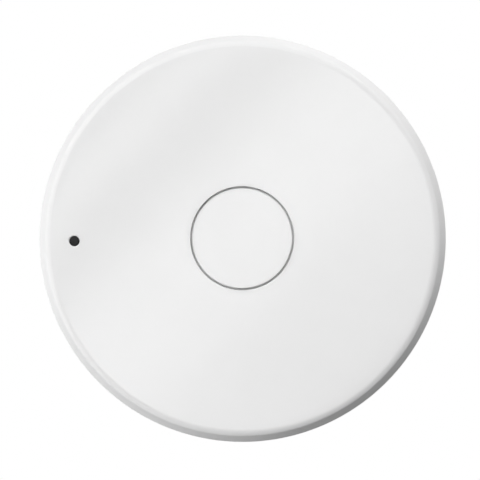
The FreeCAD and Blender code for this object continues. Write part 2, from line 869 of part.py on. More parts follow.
def cell_cap():
    """The coin cell's cap, negative, toward the board."""
    low = cell_back + 2 * cell_can_wall
    cap = disc(cell_cap_radius, low, cell_front)
    cap = cap.makeFillet(cell_can_wall / 2, [rim_edge(cap, cell_front)])
    return cap.cut(disc(cell_cap_radius - cell_can_wall, low - overshoot, cell_front - cell_can_wall))


def battery_door():
    """The door: a flanged disc with a coin slot, a skirt round the cell and three lugs."""
    flange = disc(door_radius, housing_back, door_inside)
    flange = flange.makeChamfer(door_edge_bevel, [rim_edge(flange, housing_back)])
    skirt = ring(skirt_outside_radius, skirt_inside_radius, door_inside, door_skirt_top)
    pieces = [flange, skirt]
    skirt_middle = skirt_outside_radius - door_skirt_wall / 2
    for i in range(door_lug_count):
        start = 360.0 * i / door_lug_count - door_lug_angle / 2
        pieces.append(sector(lug_radius, skirt_middle, lug_back, lug_front, start, door_lug_angle))
    door = joined(pieces)
    slot_top = housing_back + coin_slot_depth
    return door.cut(slot(coin_slot_length, coin_slot_width / 2, housing_back - overshoot, slot_top))


def bent_strip(points, width, y):
    """A strip of even thickness through points given as x and height, centred on y."""
    half = contact_thickness / 2
    pieces = []
    for (x0, z0), (x1, z1) in zip(points[:-1], points[1:]):
        run = math.hypot(x1 - x0, z1 - z0)
        lean = math.degrees(math.atan2(z1 - z0, x1 - x0))
        plate = Part.makeBox(run, width, contact_thickness, V(0, y - width / 2, -half))
        plate.rotate(V(0, 0, 0), V(0, 1, 0), -lean)
        plate.translate(V(x0, 0, z0))
        pieces.append(plate)
    for x, z in points[1:-1]:
        pieces.append(Part.makeCylinder(half, width, V(x, y - width / 2, z), V(0, 1, 0)))
    return joined(pieces)


def contact_negative():
    """The bronze spring that presses on the cell's cap: a foot on the board and two arms."""
    half = contact_thickness / 2
    foot = board_back - half
    touch = cell_front + half
    bend = cap_contact_arm_length / 2
    points = [(-bend - cap_contact_foot, foot), (-bend, foot), (bend, touch), (bend + cap_contact_tip, touch)]
    arms = []
    for side in (-1, 1):
        arms.append(bent_strip(points, cap_contact_arm_width, side * cap_contact_arm_spacing / 2))
    bridge_low = board_back - contact_thickness
    bridge_x = -bend - cap_contact_foot / 2
    arms.append(block(cap_contact_foot, cap_contact_arm_spacing, bridge_low, board_back, bridge_x))
    return joined(arms)


def contact_positive():
    """The bronze spring that presses on the cell's side."""
    half = contact_thickness / 2
    foot = board_back - half
    touch = cell_radius + half
    low = door_boss_top + side_contact_end_gap
    points = [
        (touch + side_contact_lean + side_contact_foot, foot),
        (touch + side_contact_lean, foot),
        (touch, (foot + low) / 2),
        (touch + side_contact_lead_in, low),
    ]
    leg = bent_strip(points, side_contact_width, 0)
    leg.rotate(V(0, 0, 0), V(0, 0, 1), contact_angle)
    return leg


def pieces():
    """Every piece by its node name, in stack coordinates."""
    main = main_switch()
    pairing = pairing_switch()
    return {
        "wall_plate": wall_plate(),
        "adhesive_pad": adhesive_pad(),
        "keeper_discs": keeper_discs(),
        "front_cover": front_cover(),
        "rear_housing": rear_housing(),
        "housing_screws": housing_screws(),
        "housing_magnets": housing_magnets(),
        "grip_pads": grip_pads(),
        "button_cap": button_cap(),
        "return_spring": return_spring(),
        "led_lens": led_lens(),
        "status_led": status_led(),
        "circuit_board": circuit_board(),
        "switch_body": main["body"],
        "switch_frame": main["frame"],
        "switch_dome": main["dome"],
        "switch_plunger": main["plunger"],
        "switch_terminals": main["terminals"],
        "pairing_button": pairing_button(),
        "pairing_switch_body": pairing["body"],
        "pairing_switch_frame": pairing["frame"],
        "pairing_switch_dome": pairing["dome"],
        "pairing_plunger": pairing["plunger"],
        "pairing_switch_terminals": pairing["terminals"],
        "radio_shield": radio_shield(),
        "radio_chip": radio_chip(),
        "crystal": crystal(),
        "chip_antenna": chip_antenna(),
        "chip_capacitors": part_row(capacitor_count, 1),
        "chip_resistors": part_row(resistor_count, -1),
        "bulk_capacitor": bulk_capacitor(),
        "cell_can": cell_can(),
        "cell_core": cell_core(),
        "cell_gasket": cell_gasket(),
        "cell_cap": cell_cap(),
        "contact_negative": contact_negative(),
        "contact_positive": contact_positive(),
        "battery_door": battery_door(),
    }


os.makedirs("parts", exist_ok=True)
for name, shape in pieces().items():
    shape.rotate(V(0, 0, 0), V(1, 0, 0), 90)
    shape.exportStep(f"parts/{name}.step")
    print(f"{name}: {len(shape.Solids)} solids, {shape.Volume:.2f} mm3, valid {shape.isValid()}")
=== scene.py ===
# %% [markdown]
# A wireless light switch, dressed
#
# The object is a white round module, 80 mm across, with one push button in the middle and a small smoked
# window for its status light. It clings by magnets to a plate on the wall. The CAD frame already holds every
# piece at its real size, so this script only gives the pieces their finishes, builds finer surfaces where the
# eye comes close, and sets up the light and the camera of the photograph.

import json
import math

import bmesh
import bpy
import numpy as np
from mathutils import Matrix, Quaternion, Vector

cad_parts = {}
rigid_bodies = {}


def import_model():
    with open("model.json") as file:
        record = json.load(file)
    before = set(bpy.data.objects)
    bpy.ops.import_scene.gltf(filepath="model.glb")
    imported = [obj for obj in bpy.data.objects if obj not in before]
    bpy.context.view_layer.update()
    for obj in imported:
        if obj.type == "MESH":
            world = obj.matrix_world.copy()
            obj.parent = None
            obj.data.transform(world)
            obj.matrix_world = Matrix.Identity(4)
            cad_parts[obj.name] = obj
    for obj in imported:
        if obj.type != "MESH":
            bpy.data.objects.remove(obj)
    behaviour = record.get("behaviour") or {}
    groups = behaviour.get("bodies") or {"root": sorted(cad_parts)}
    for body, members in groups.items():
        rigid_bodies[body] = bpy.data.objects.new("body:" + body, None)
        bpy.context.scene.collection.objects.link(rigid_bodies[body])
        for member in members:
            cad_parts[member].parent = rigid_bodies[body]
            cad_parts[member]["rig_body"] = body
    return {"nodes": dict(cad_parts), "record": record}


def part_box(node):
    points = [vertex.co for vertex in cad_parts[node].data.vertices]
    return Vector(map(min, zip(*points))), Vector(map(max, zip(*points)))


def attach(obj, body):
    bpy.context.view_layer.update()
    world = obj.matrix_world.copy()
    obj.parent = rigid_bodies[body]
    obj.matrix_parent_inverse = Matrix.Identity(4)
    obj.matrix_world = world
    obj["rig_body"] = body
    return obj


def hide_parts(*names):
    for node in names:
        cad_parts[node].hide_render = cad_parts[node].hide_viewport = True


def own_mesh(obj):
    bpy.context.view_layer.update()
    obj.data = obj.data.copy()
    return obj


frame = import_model()
nodes = frame["nodes"]
scene = bpy.context.scene
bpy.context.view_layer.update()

# %% [markdown]
# Units
#
# Blender works in metres here and the maker's drawing in millimetres, so every real size is written in
# millimetres and multiplied by one named value. The wall is at y = 0 and the face looks toward -Y, so a
# height above the wall becomes a negative y.

# %% Sizes that the pieces share
MM = 0.001


def span(node):
    """The lowest and highest corner of a CAD node, in millimetres."""
    low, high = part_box(node)
    return np.array(low) / MM, np.array(high) / MM


cover_low, cover_high = span("front_cover")
body_radius = (cover_high[0] - cover_low[0]) / 2
face_height = -span("button_cap")[0][1]
lens_low, lens_high = span("led_lens")
print("cover radius", round(body_radius, 3), "face height", round(face_height, 3))

# %% [markdown]
# Shader maths in plain Python
#
# A procedural finish is a small network of nodes. Built by hand it is hard to read, so a socket is wrapped in a
# class that knows how to add, subtract, multiply and divide: an expression in Python then leaves its Math
# nodes in the material. Every other node comes from one method, node(), which first sets the node up and then
# fills its sockets.


# %% One socket of a shader, with arithmetic
class Signal:
    """A value that varies over a surface. Sums, differences, products and quotients add Math nodes."""

    def __init__(self, network, socket):
        self.network = network
        self.socket = socket

    def maths(self, operation, *others):
        """A Math node with this operation on the signal and the other values."""
        inputs = dict(enumerate((self, *others)))
        return self.network.node("ShaderNodeMath", {"operation": operation}, inputs)

    def __add__(self, other):
        return self.maths("ADD", other)

    def __sub__(self, other):
        return self.maths("SUBTRACT", other)

    def __rsub__(self, other):
        return self * -1 + other

    def __mul__(self, other):
        return self.maths("MULTIPLY", other)

    def __truediv__(self, other):
        return self.maths("DIVIDE", other)

    __radd__ = __add__
    __rmul__ = __mul__

    def step(self, low, high, begin=0.0, end=1.0):
        """Runs smoothly from begin to end while the signal runs from low to high."""
        settings = {"interpolation_type": "SMOOTHSTEP"}
        inputs = {0: self, 1: low, 2: high, 3: begin, 4: end}
        return self.network.node("ShaderNodeMapRange", settings, inputs)


# %% [markdown]
# A finish
#
# A finish is one material: a Principled shader with its constant values, and the few inputs that vary. Object
# coordinates drive every pattern, because they stick to the piece from any side. They are in metres, so a
# pattern's size is given in millimetres and turned into a scale. The world is a network of nodes too, so what
# both need, adding a node and asking what kind of ray arrives, stands in a class of its own.


# %% A network of nodes
class Network:
    """The nodes of a material or of the world."""

    def __init__(self, tree):
        self.tree = tree

    def node(self, kind, settings=None, inputs=None, output=0):
        """Adds a node: its settings first, then the values or links of its sockets."""
        made = self.tree.nodes.new(kind)
        for setting, value in (settings or {}).items():
            setattr(made, setting, value)
        for socket, value in (inputs or {}).items():
            if isinstance(value, Signal):
                self.tree.links.new(value.socket, made.inputs[socket])
            else:
                made.inputs[socket].default_value = value
        return Signal(self, made.outputs[output])

    def ray(self, kind):
        """1 for rays of this kind, 0 for all others."""
        return self.node("ShaderNodeLightPath", output=f"Is {kind} Ray")

    def looked_at(self):
        """1 for the camera, a mirror or a view through clear plastic, 0 for rays that only carry light."""
        return self.ray("Camera").maths("MAXIMUM", self.ray("Glossy")).maths("MAXIMUM", self.ray("Transmission"))


# %% A material and its patterns
class Finish(Network):
    """A material with a Principled shader; constants go straight onto its sockets."""

    def __init__(self, name, **constants):
        self.material = bpy.data.materials.new(name)
        self.material.use_nodes = True
        super().__init__(self.material.node_tree)
        self.shader = self.tree.nodes["Principled BSDF"]
        for socket, value in constants.items():
            self.shader.inputs[socket.replace("_", " ")].default_value = value
        self.place = self.node("ShaderNodeTexCoord", output="Object")

    def feed(self, **inputs):
        """Links signals into the shader's sockets."""
        for socket, signal in inputs.items():
            self.tree.links.new(signal.socket, self.shader.inputs[socket.replace("_", " ")])

    def noise(self, size, detail=3.0, place=None):
        """Soft random mottling whose spots are about this many millimetres across, from 0 to 1."""
        inputs = {"Vector": place or self.place, "Scale": 1 / (size * MM), "Detail": detail}
        return self.node("ShaderNodeTexNoise", None, inputs)

    def cells(self, size):
        """The distance to the nearest of scattered points about this many millimetres apart."""
        inputs = {"Vector": self.place, "Scale": 1 / (size * MM)}
        return self.node("ShaderNodeTexVoronoi", None, inputs)

    def blend(self, share, first, second):
        """The first colour where share is 0, the second where it is 1."""
        inputs = {0: share, 6: first, 7: second}
        return self.node("ShaderNodeMix", {"data_type": "RGBA"}, inputs, 2)

    def relief(self, height, depth):
        """A surface normal tilted as if height, from 0 to 1, stood this many millimetres proud."""
        return self.node("ShaderNodeBump", None, {"Height": height, "Distance": depth * MM})

    def axis(self, name):
        """One coordinate of the place on the surface, in metres."""
        return self.node("ShaderNodeSeparateXYZ", None, {0: self.place}, name)

    def stretched(self, x, y, z):
        """Coordinates scaled along each axis: a factor below 1 draws a pattern out along that axis."""
        return self.node("ShaderNodeMapping", None, {"Vector": self.place, "Scale": (x, y, z)})


def grey(level):
    """A neutral colour of this linear brightness."""
    return (level, level, level, 1.0)


def tint(red, green, blue):
    """A colour given as linear red, green and blue."""
    return (red, green, blue, 1.0)


finishes = {}


def keep(name, finish):
    """Files a finish under the name of the record's material slot."""
    finishes[name] = finish.material


# %% [markdown]
# White moulded plastic
#
# The cover is injection moulded in a polished tool: an even white, a soft gloss, and a surface that is never
# quite flat. Three scales of noise give it that. A wide one lets the tone wander by about one percent, a
# middle one breaks the gloss so that a reflection has a live edge, and a very fine one is the satin that the
# polished tool leaves. A polisher reaches the wide face but not the narrow rim, so the gloss fades to satin from
# the rolled edge outward, and no lamp draws a hard line there. The pieces on the wall side come from plain,
# spark-eroded tools, so they get a deeper grain and less gloss.


# %% Moulded plastics
def moulded(slot, colour, shade, roughness, grain, depth, shine=0.5, rim=None):
    """Moulded plastic: colour and shade, roughness, a grain of this size and depth in millimetres, and shine.

    A rim, given as two radii in millimetres and a roughness, turns satin between the first radius and the second.
    """
    finish = Finish(slot, IOR=1.5, Specular_IOR_Level=shine)
    if rim:
        begin, end, satin = rim
        x, z = finish.axis("X"), finish.axis("Z")
        radius = (x * x + z * z).maths("SQRT")
        roughness = radius.step(begin * MM, end * MM, roughness, satin)
    wander = finish.noise(22.0, 2.0)
    flow = finish.noise(5.0, 3.0)
    fine = finish.noise(grain, 2.0)
    finish.feed(
        Base_Color=finish.blend((wander * 0.7 + flow * 0.3).step(0.3, 0.7), shade, colour),
        Roughness=((flow - 0.5) * 0.2 + (fine - 0.5) * 0.2 + 1) * roughness,
        Normal=finish.relief(fine, depth),
    )
    keep(slot, finish)


SATIN_RIM = (37.4, 38.2, 0.5)
moulded("white_shell", grey(0.845), grey(0.83), 0.10, 0.30, 0.0002, 0.35, SATIN_RIM)
moulded("white_button", grey(0.84), grey(0.825), 0.10, 0.30, 0.0002, 0.35)
moulded("white_housing", grey(0.80), grey(0.775), 0.45, 0.35, 0.006)
moulded("white_door", grey(0.80), grey(0.775), 0.42, 0.32, 0.006)
moulded("white_plate", grey(0.79), grey(0.765), 0.48, 0.38, 0.007)
moulded("white_pusher", grey(0.80), grey(0.77), 0.35, 0.25, 0.003)
moulded("white_plunger", tint(0.78, 0.77, 0.72), tint(0.74, 0.73, 0.68), 0.4, 0.2, 0.003)
moulded("black_switch", grey(0.022), grey(0.016), 0.38, 0.2, 0.004)
moulded("black_chip", grey(0.03), grey(0.02), 0.5, 0.08, 0.004)
moulded("black_resistor", grey(0.02), grey(0.014), 0.4, 0.1, 0.003)
moulded("cell_seal", tint(0.5, 0.5, 0.47), tint(0.42, 0.42, 0.4), 0.45, 0.2, 0.003)
print("plastics:", len(finishes))

# %% [markdown]
# Metals
#
# The steel discs, the screws, the springs and the cell are stamped, drawn or turned, and each way of making
# leaves its own streaks. Object coordinates that are squeezed along one axis draw round noise out into streaks
# along it, and a soft blotchy noise over it stands for handling and for uneven plating.


# %% Brushed and plated metals
def plated(slot, colour, shade, roughness, streak=(1, 1, 1), size=0.12, depth=0.002):
    """Metal: colour and shade, roughness, and streaks of this size and depth, drawn out by three factors."""
    finish = Finish(slot, Metallic=1.0)
    lines = finish.noise(size, 4.0, finish.stretched(*streak))
    bloom = finish.noise(3.0, 3.0)
    finish.feed(
        Base_Color=finish.blend((lines * 0.6 + bloom * 0.4).step(0.3, 0.7), shade, colour),
        Roughness=roughness + (lines - 0.5) * 0.16 + (bloom - 0.5) * 0.08,
        Normal=finish.relief(lines, depth),
    )
    keep(slot, finish)


plated("zinc_steel", tint(0.62, 0.64, 0.66), tint(0.5, 0.52, 0.55), 0.3, (1, 1, 0.04))
plated("spring_steel", tint(0.55, 0.55, 0.56), tint(0.42, 0.42, 0.43), 0.24, (0.3, 1, 0.3), 0.06, 0.001)
plated("nickel_magnet", tint(0.72, 0.70, 0.66), tint(0.62, 0.60, 0.56), 0.16, (1, 1, 1), 0.4, 0.001)
plated("black_screw", tint(0.07, 0.07, 0.075), tint(0.045, 0.045, 0.05), 0.34, (1, 0.15, 1), 0.08, 0.003)
plated("tinned", tint(0.66, 0.66, 0.65), tint(0.56, 0.56, 0.55), 0.28, (1, 1, 0.2), 0.1, 0.002)
plated("shield_can", tint(0.64, 0.64, 0.63), tint(0.55, 0.55, 0.54), 0.33, (0.06, 1, 1), 0.1, 0.001)
plated("bronze_contact", tint(0.62, 0.44, 0.22), tint(0.5, 0.34, 0.16), 0.27, (1, 0.2, 0.2), 0.1, 0.001)
plated("cell_steel", tint(0.66, 0.66, 0.67), tint(0.55, 0.55, 0.56), 0.25, (1, 1, 0.05), 0.12, 0.001)
plated("cell_filling", tint(0.5, 0.5, 0.5), tint(0.4, 0.4, 0.4), 0.5, (1, 1, 1), 0.5, 0.01)

# %% [markdown]
# The smoked window
#
# The status light shines through a thin rod of clear plastic dyed almost black. Switched off it is a charcoal
# dot. It could be real glass with an absorbing volume, but from outside nothing shines through it, so a very dark
# base colour with a weak, slightly rough reflection shows the same and costs nothing.


# %% Dyed window, light-emitting diode
def smoked_window():
    """Charcoal plastic, cloudy by a few percent because the dye never mixes evenly."""
    finish = Finish("smoked_window", IOR=1.5, Specular_IOR_Level=0.12)
    cloud = finish.noise(0.9, 2.0)
    fine = finish.noise(0.12, 2.0)
    finish.feed(
        Base_Color=finish.blend(cloud.step(0.3, 0.7), grey(0.010), grey(0.014)),
        Roughness=0.3 + (fine - 0.5) * 0.08,
        Normal=finish.relief(fine, 0.0008),
    )
    keep("smoked_window", finish)


def led_resin():
    """The pale amber lens of the diode, milky with diffuser."""
    finish = Finish("led_resin", IOR=1.5, Subsurface_Weight=0.3, Subsurface_Scale=0.0004)
    cloud = finish.noise(0.3, 2.0)
    finish.feed(
        Base_Color=finish.blend(cloud.step(0.3, 0.7), tint(0.78, 0.66, 0.36), tint(0.85, 0.76, 0.5)),
        Roughness=0.2 + cloud * 0.1,
        Normal=finish.relief(cloud, 0.002),
    )
    keep("led_resin", finish)


smoked_window()
led_resin()

# %% [markdown]
# Foam and silicone
#
# The round pad behind the wall plate is closed-cell foam tape: grey, matte, with cells of a few tenths of a
# millimetre that show on its cut edge. The three grip pads are milky silicone, which scatters light inside and
# keeps a faint bloom on its skin.


# %% Soft materials
def foam():
    """Closed-cell foam: two sizes of bubble press into the surface, their pits are painted darker as painted
    shade, and a random tone lies over it.
    """
    finish = Finish("grey_foam", IOR=1.45)
    bubbles = finish.cells(0.45)
    pores = finish.cells(0.16)
    tone = finish.noise(4.0)
    height = bubbles.step(0.0, 0.6) * 0.7 + pores.step(0.0, 0.6) * 0.3
    finish.feed(
        # The colour follows the relief: the bubbles' pits are painted darker, a painted shade in the hollows, and
        # the tone noise is the foam's own.
        Base_Color=finish.blend((height * 0.6 + tone * 0.4).step(0.2, 0.8), grey(0.14), grey(0.24)),
        Roughness=0.85 + (tone - 0.5) * 0.1,
        Normal=finish.relief(height, 0.05),
    )
    keep("grey_foam", finish)


def silicone():
    """Milky rubber with a dusty skin."""
    finish = Finish("silicone", IOR=1.41, Subsurface_Weight=0.35, Subsurface_Scale=0.0008)
    dust = finish.noise(0.5, 4.0)
    finish.feed(
        Base_Color=finish.blend(dust.step(0.35, 0.7), grey(0.46), grey(0.54)),
        Roughness=0.5 + dust * 0.15,
        Normal=finish.relief(finish.noise(0.2, 2.0), 0.004),
    )
    keep("silicone", finish)


foam()
silicone()

# %% [markdown]
# The circuit board and its ceramic parts
#
# Solder mask is a thin green lacquer, so copper tracks show through it as a paler green and stand a few
# hundredths of a millimetre proud. Square cells scattered over the board choose whether the tracks in them run
# up or across, which is how a router lays out a two-layer board.


# %% Solder mask over copper tracks
def stripes(finish, name, pitch, width):
    """Lines this many millimetres apart and wide across one axis: 1 on the line, 0 between the lines."""
    phase = (finish.axis(name) / (pitch * MM)).maths("FRACT")
    off = (phase - 0.5).maths("ABSOLUTE")
    edge = width / pitch / 2
    return off.step(edge, edge + 0.04, 1.0, 0.0)


def solder_mask():
    """Green lacquer, with tracks that run up in some cells of the board and across in the others."""
    finish = Finish("green_board", IOR=1.5, Coat_Weight=0.5, Coat_Roughness=0.1)
    inputs = {"Vector": finish.place, "Scale": 1 / (7.0 * MM), "Randomness": 0.7}
    patch = finish.node("ShaderNodeTexVoronoi", {"distance": "CHEBYCHEV"}, inputs, "Color")
    choice = finish.node("ShaderNodeSeparateColor", None, {0: patch}, 0).step(0.48, 0.52)
    poured = finish.node("ShaderNodeSeparateColor", None, {0: patch}, 1).step(0.62, 0.66)
    tracks = stripes(finish, "X", 0.9, 0.3) * choice + stripes(finish, "Z", 0.9, 0.3) * (1 - choice)
    copper = (tracks + poured).step(0.1, 0.9)
    cloud = finish.noise(3.0)
    finish.feed(
        Base_Color=finish.blend(copper, tint(0.004, 0.075, 0.035), tint(0.012, 0.15, 0.06)),
        Roughness=0.26 + cloud * 0.1,
        Normal=finish.relief(copper, 0.03),
    )
    keep("green_board", finish)


def ceramic(slot, colour, shade, roughness):
    """Fired ceramic or lacquered chip parts: a fine speckle over a dull body."""
    finish = Finish(slot, IOR=1.6)
    speckle = finish.cells(0.06)
    finish.feed(
        Base_Color=finish.blend(speckle.step(0.1, 0.6), shade, colour),
        Roughness=roughness + speckle * 0.1,
        Normal=finish.relief(speckle, 0.004),
    )
    keep(slot, finish)


solder_mask()
ceramic("ceramic_chip", tint(0.72, 0.72, 0.70), tint(0.6, 0.6, 0.58), 0.4)
ceramic("tan_capacitor", tint(0.46, 0.32, 0.19), tint(0.36, 0.24, 0.14), 0.4)
ceramic("yellow_capacitor", tint(0.72, 0.47, 0.06), tint(0.6, 0.37, 0.04), 0.42)
print("finishes:", len(finishes))

# %% [markdown]
# Dressing the frame
#
# Each CAD node comes in with a plain material that carries the name of its slot in the record. The finish with
# the same name takes its place, and the mesh stays as it is.

# %% Finishes onto the nodes
for node in nodes.values():
    for index, old in enumerate(node.data.materials):
        slot_name = old.name.split(".")[0]
        node.data.materials[index] = finishes[slot_name]
print("nodes with a finish:", len(nodes))

# %% [markdown]
# Surfaces worked out with numpy
#
# Most of the module is turned about its middle, so a piece can be written as a profile of radius and height and
# spun round: every point of the surface comes from two numbers, its place along the profile and its angle.
# Computed as whole arrays, the points of such a sheet go straight into a mesh, and neighbouring sheets share
# their edges, so they weld into one closed skin. Heights are counted from the wall outward, like a stack.


# %% From sheets of points to a mesh
def quads(rows, columns, start, loop):
    """Corner numbers of the quads of a grid of points; loop joins the last column to the first."""
    row, column = np.mgrid[0:rows - 1, 0:columns if loop else columns - 1]
    beside = (column + 1) % columns
    corners = (row * columns + column, row * columns + beside)
    corners += ((row + 1) * columns + beside, (row + 1) * columns + column)
    return start + np.stack(corners, -1).reshape(-1, 4)


def in_frame(points):
    """Stack coordinates (right, up, off the wall) in millimetres, turned into the frame's metres."""
    return np.stack([points[..., 0], -points[..., 2], points[..., 1]], -1) * MM


def piece(name, sheets, node, slot_name, crease=30.0):
    """A closed mesh from sheets of (points, loop). It rides with the CAD node and is shown in its place."""
    starts = np.cumsum([0] + [points[..., 0].size for points, _ in sheets])
    corners = np.concatenate([in_frame(points).reshape(-1, 3) for points, _ in sheets])
    faces = [quads(*points.shape[:2], start, loop) for (points, loop), start in zip(sheets, starts)]
    mesh = bpy.data.meshes.new(name)
    mesh.from_pydata(corners.tolist(), [], np.concatenate(faces).tolist())
    welded = bmesh.new()
    welded.from_mesh(mesh)
    bmesh.ops.remove_doubles(welded, verts=welded.verts, dist=0.001 * MM)
    bmesh.ops.recalc_face_normals(welded, faces=welded.faces)
    open_edges = sum(not edge.is_manifold for edge in welded.edges)
    welded.to_mesh(mesh)
    welded.free()
    mesh.polygons.foreach_set("use_smooth", np.ones(len(mesh.polygons), bool))
    mesh.set_sharp_from_angle(angle=math.radians(crease))
    mesh.materials.append(finishes[slot_name])
    made = bpy.data.objects.new(name, mesh)
    scene.collection.objects.link(made)
    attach(made, nodes[node]["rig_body"])
    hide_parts(node)
    print(name, "faces", len(mesh.polygons), "open edges", open_edges)
    return made


def turned(profile, count, x=0.0, y=0.0, first=0.0, sweep=360.0):
    """A profile of (radius, height) spun about an upright axis: x + r cos a, y + r sin a, h. Returns a sheet."""
    whole = sweep == 360.0
    a = np.radians(first + np.linspace(0, sweep, count, endpoint=not whole))
    radius = profile[:, 0, None]
    height = np.broadcast_to(profile[:, 1, None], (len(profile), len(a)))
    return np.stack([x + radius * np.cos(a), y + radius * np.sin(a), height], -1), whole


def rounded(corners, steps=5):
    """A profile through corners of (radius, height, fillet): each corner is cut by an arc of its fillet radius.

    The arc touches both neighbours where the fillet over the tangent of half the corner's angle says.
    """
    points = [corners[0][:2]]
    for before, corner, after in zip(corners[:-2], corners[1:-1], corners[2:]):
        middle = np.array(corner[:2], float)
        back = np.array(before[:2]) - middle
        ahead = np.array(after[:2]) - middle
        back /= np.hypot(*back)
        ahead /= np.hypot(*ahead)
        half = math.acos(float(np.clip(back @ ahead, -1, 1))) / 2
        if corner[2] == 0:
            points.append(tuple(middle))
            continue
        reach = corner[2] / math.tan(half)
        centre = middle + (back + ahead) / np.hypot(*(back + ahead)) * corner[2] / math.sin(half)
        begin = middle + back * reach - centre
        end = middle + ahead * reach - centre
        share = np.linspace(0, 1, steps)[:, None]
        bend = math.pi - 2 * half
        swing = np.sin((1 - share) * bend) * begin + np.sin(share * bend) * end
        points.extend(map(tuple, centre + swing / math.sin(bend)))
    points.append(corners[-1][:2])
    return np.array(points, float)


def on_circle(radius, degrees):
    """The x and y of the place at this angle on a circle round the axis."""
    a = math.radians(degrees)
    return radius * math.cos(a), radius * math.sin(a)


def closed_wedge(outer, inner, low, high, first, sweep, count=12):
    """A block bent round the axis: its four sides turn through the sweep, and two ends close it."""
    loop = np.array([(inner, low), (outer, low), (outer, high), (inner, high), (inner, low)], float)
    sides, _ = turned(loop, count, first=first, sweep=sweep)
    ends = []
    for column in (0, -1):
        edge = sides[:, column]
        ends.append((np.stack([edge[[0, 1]], edge[[3, 2]]]), False))
    return [(sides, False), *ends]


# %% [markdown]
# The white cover
#
# The cover is a shallow cup: a face that bulges by six tenths of a millimetre, rolls over softly at its rim, and
# then breaks into a sloped ring 1.2 mm wide before the side wall. It could be one turned profile, but the window
# near the rim isn't round about the middle. So the face is spun as rings, a small field of it is left out, and
# rings that grow from the window's round mouth out to that field's border fill it in. Everything shares the same
# points at the seams. Inside are the guide ring for the button, screw bosses and clamp ribs.

# %% The cover's outline
SEGMENTS = 360
DOME_RISE = 0.6
ROLL_RADIUS = 2.0
ROLL_WIDTH = 1.2
RING_WIDTH = 1.2
RING_SLOPE = 60.0
SIDE_DRAFT = 0.25
SIDE_WALL = 2.0
TOP_WALL = 2.2
REAR_BEVEL = 0.3
INNER_FILLET = 0.5
CRISP = 0.1
HOLE_RADIUS = 10.20
HOLE_EDGE = 0.1

rear_height = -cover_high[1]
inside_height = face_height - TOP_WALL
face_edge = body_radius - RING_WIDTH
roll_start = face_edge - ROLL_WIDTH
dome_radius = (roll_start ** 2 + DOME_RISE ** 2) / (2 * DOME_RISE)


def dome(radius):
    """Height of the face at a distance from the middle: a shallow cap of a ball."""
    return face_height - dome_radius + np.sqrt(dome_radius ** 2 - radius ** 2)


def face_profile(radii):
    """A run of the face's profile at these radii."""
    return np.stack([radii, dome(radii)], 1)


def flat_profile(radii, height):
    """A run of a level profile at these radii."""
    return np.stack([radii, np.full(len(radii), height)], 1)


lean = math.asin(roll_start / dome_radius)
roll_middle = np.array([roll_start, dome(roll_start)]) - ROLL_RADIUS * np.array([math.sin(lean), math.cos(lean)])
edge_lean = math.asin((face_edge - roll_middle[0]) / ROLL_RADIUS)
roll_leans = np.linspace(lean, edge_lean, 14)[1:]
roll_run = roll_middle + ROLL_RADIUS * np.stack([np.sin(roll_leans), np.cos(roll_leans)], 1)
ring_end = roll_run[-1, 1] - RING_WIDTH * math.tan(math.radians(RING_SLOPE))
rear_radius = body_radius - SIDE_DRAFT
skirt_radius = rear_radius - SIDE_WALL
back_reach = skirt_radius - 1.2
rim_run = rounded([
    (*roll_run[-2], 0),
    (*roll_run[-1], CRISP),
    (body_radius, ring_end, CRISP),
    (rear_radius, rear_height + REAR_BEVEL, CRISP),
    (rear_radius - REAR_BEVEL, rear_height, CRISP),
    (skirt_radius, rear_height, CRISP),
    (skirt_radius, inside_height, INNER_FILLET),
    (back_reach, inside_height, 0),
])[1:]
print("ring from height", round(float(roll_run[-1, 1]), 2), "to", round(ring_end, 2))

# %% [markdown]
# The window's field
#
# The field is a patch of the face, a few degrees wide, round the window. Its border is a loop of grid points.
# Each of them has a partner on the window's mouth, in the same direction from the window's middle, and the
# points between come from sliding from one to the other.

# %% Rings round the window
window_middle = np.array([(lens_low[0] + lens_high[0]) / 2, (lens_low[2] + lens_high[2]) / 2])
window_far = float(np.hypot(*window_middle))
WINDOW_HOLE = 1.03
WINDOW_BEVEL = 0.15
FIELD_STEPS = 4
all_angles = np.radians(np.arange(SEGMENTS) * 360 / SEGMENTS)
field_half = window_far * all_angles[FIELD_STEPS]
field_radii = window_far + np.linspace(-field_half, field_half, 2 * FIELD_STEPS + 1)
middle_step = SEGMENTS // 2
field_angles = all_angles[middle_step - FIELD_STEPS:middle_step + FIELD_STEPS + 1]


def field_border():
    """The field's border as a loop of x, y points, counted once round."""
    inner = [(field_radii[0], a) for a in field_angles[:-1]]
    far_side = [(r, field_angles[-1]) for r in field_radii[:-1]]
    outer = [(field_radii[-1], a) for a in field_angles[:0:-1]]
    near_side = [(r, field_angles[0]) for r in field_radii[:0:-1]]
    loop = np.array(inner + far_side + outer + near_side)
    return np.stack([loop[:, 0] * np.cos(loop[:, 1]), loop[:, 0] * np.sin(loop[:, 1])], 1)


border = field_border()
heading = border - window_middle
heading /= np.hypot(heading[:, 0], heading[:, 1])[:, None]


def mouth(radius):
    """The loop at this radius round the window's middle, one point per point of the border."""
    return window_middle + radius * heading


def field(height, hole, count=6):
    """Rings from the field's border to a round hole, on a surface whose height depends on the radius."""
    share = np.linspace(0, 1, count)[:, None, None]
    flat = border * (1 - share) + mouth(hole) * share
    return np.dstack([flat, height(np.hypot(flat[..., 0], flat[..., 1]))]), True


def strip(height):
    """The band of the face beside the field, open where the field is."""
    after, before = middle_step + FIELD_STEPS, middle_step - FIELD_STEPS
    turns = np.concatenate([all_angles[after:], all_angles[:before + 1]])
    radius, angle = np.meshgrid(field_radii, turns, indexing="ij")
    return np.stack([radius * np.cos(angle), radius * np.sin(angle), height(radius)], -1), False


def level(radius):
    """The height of the cover's inner face, the same everywhere."""
    return np.full_like(radius, inside_height)


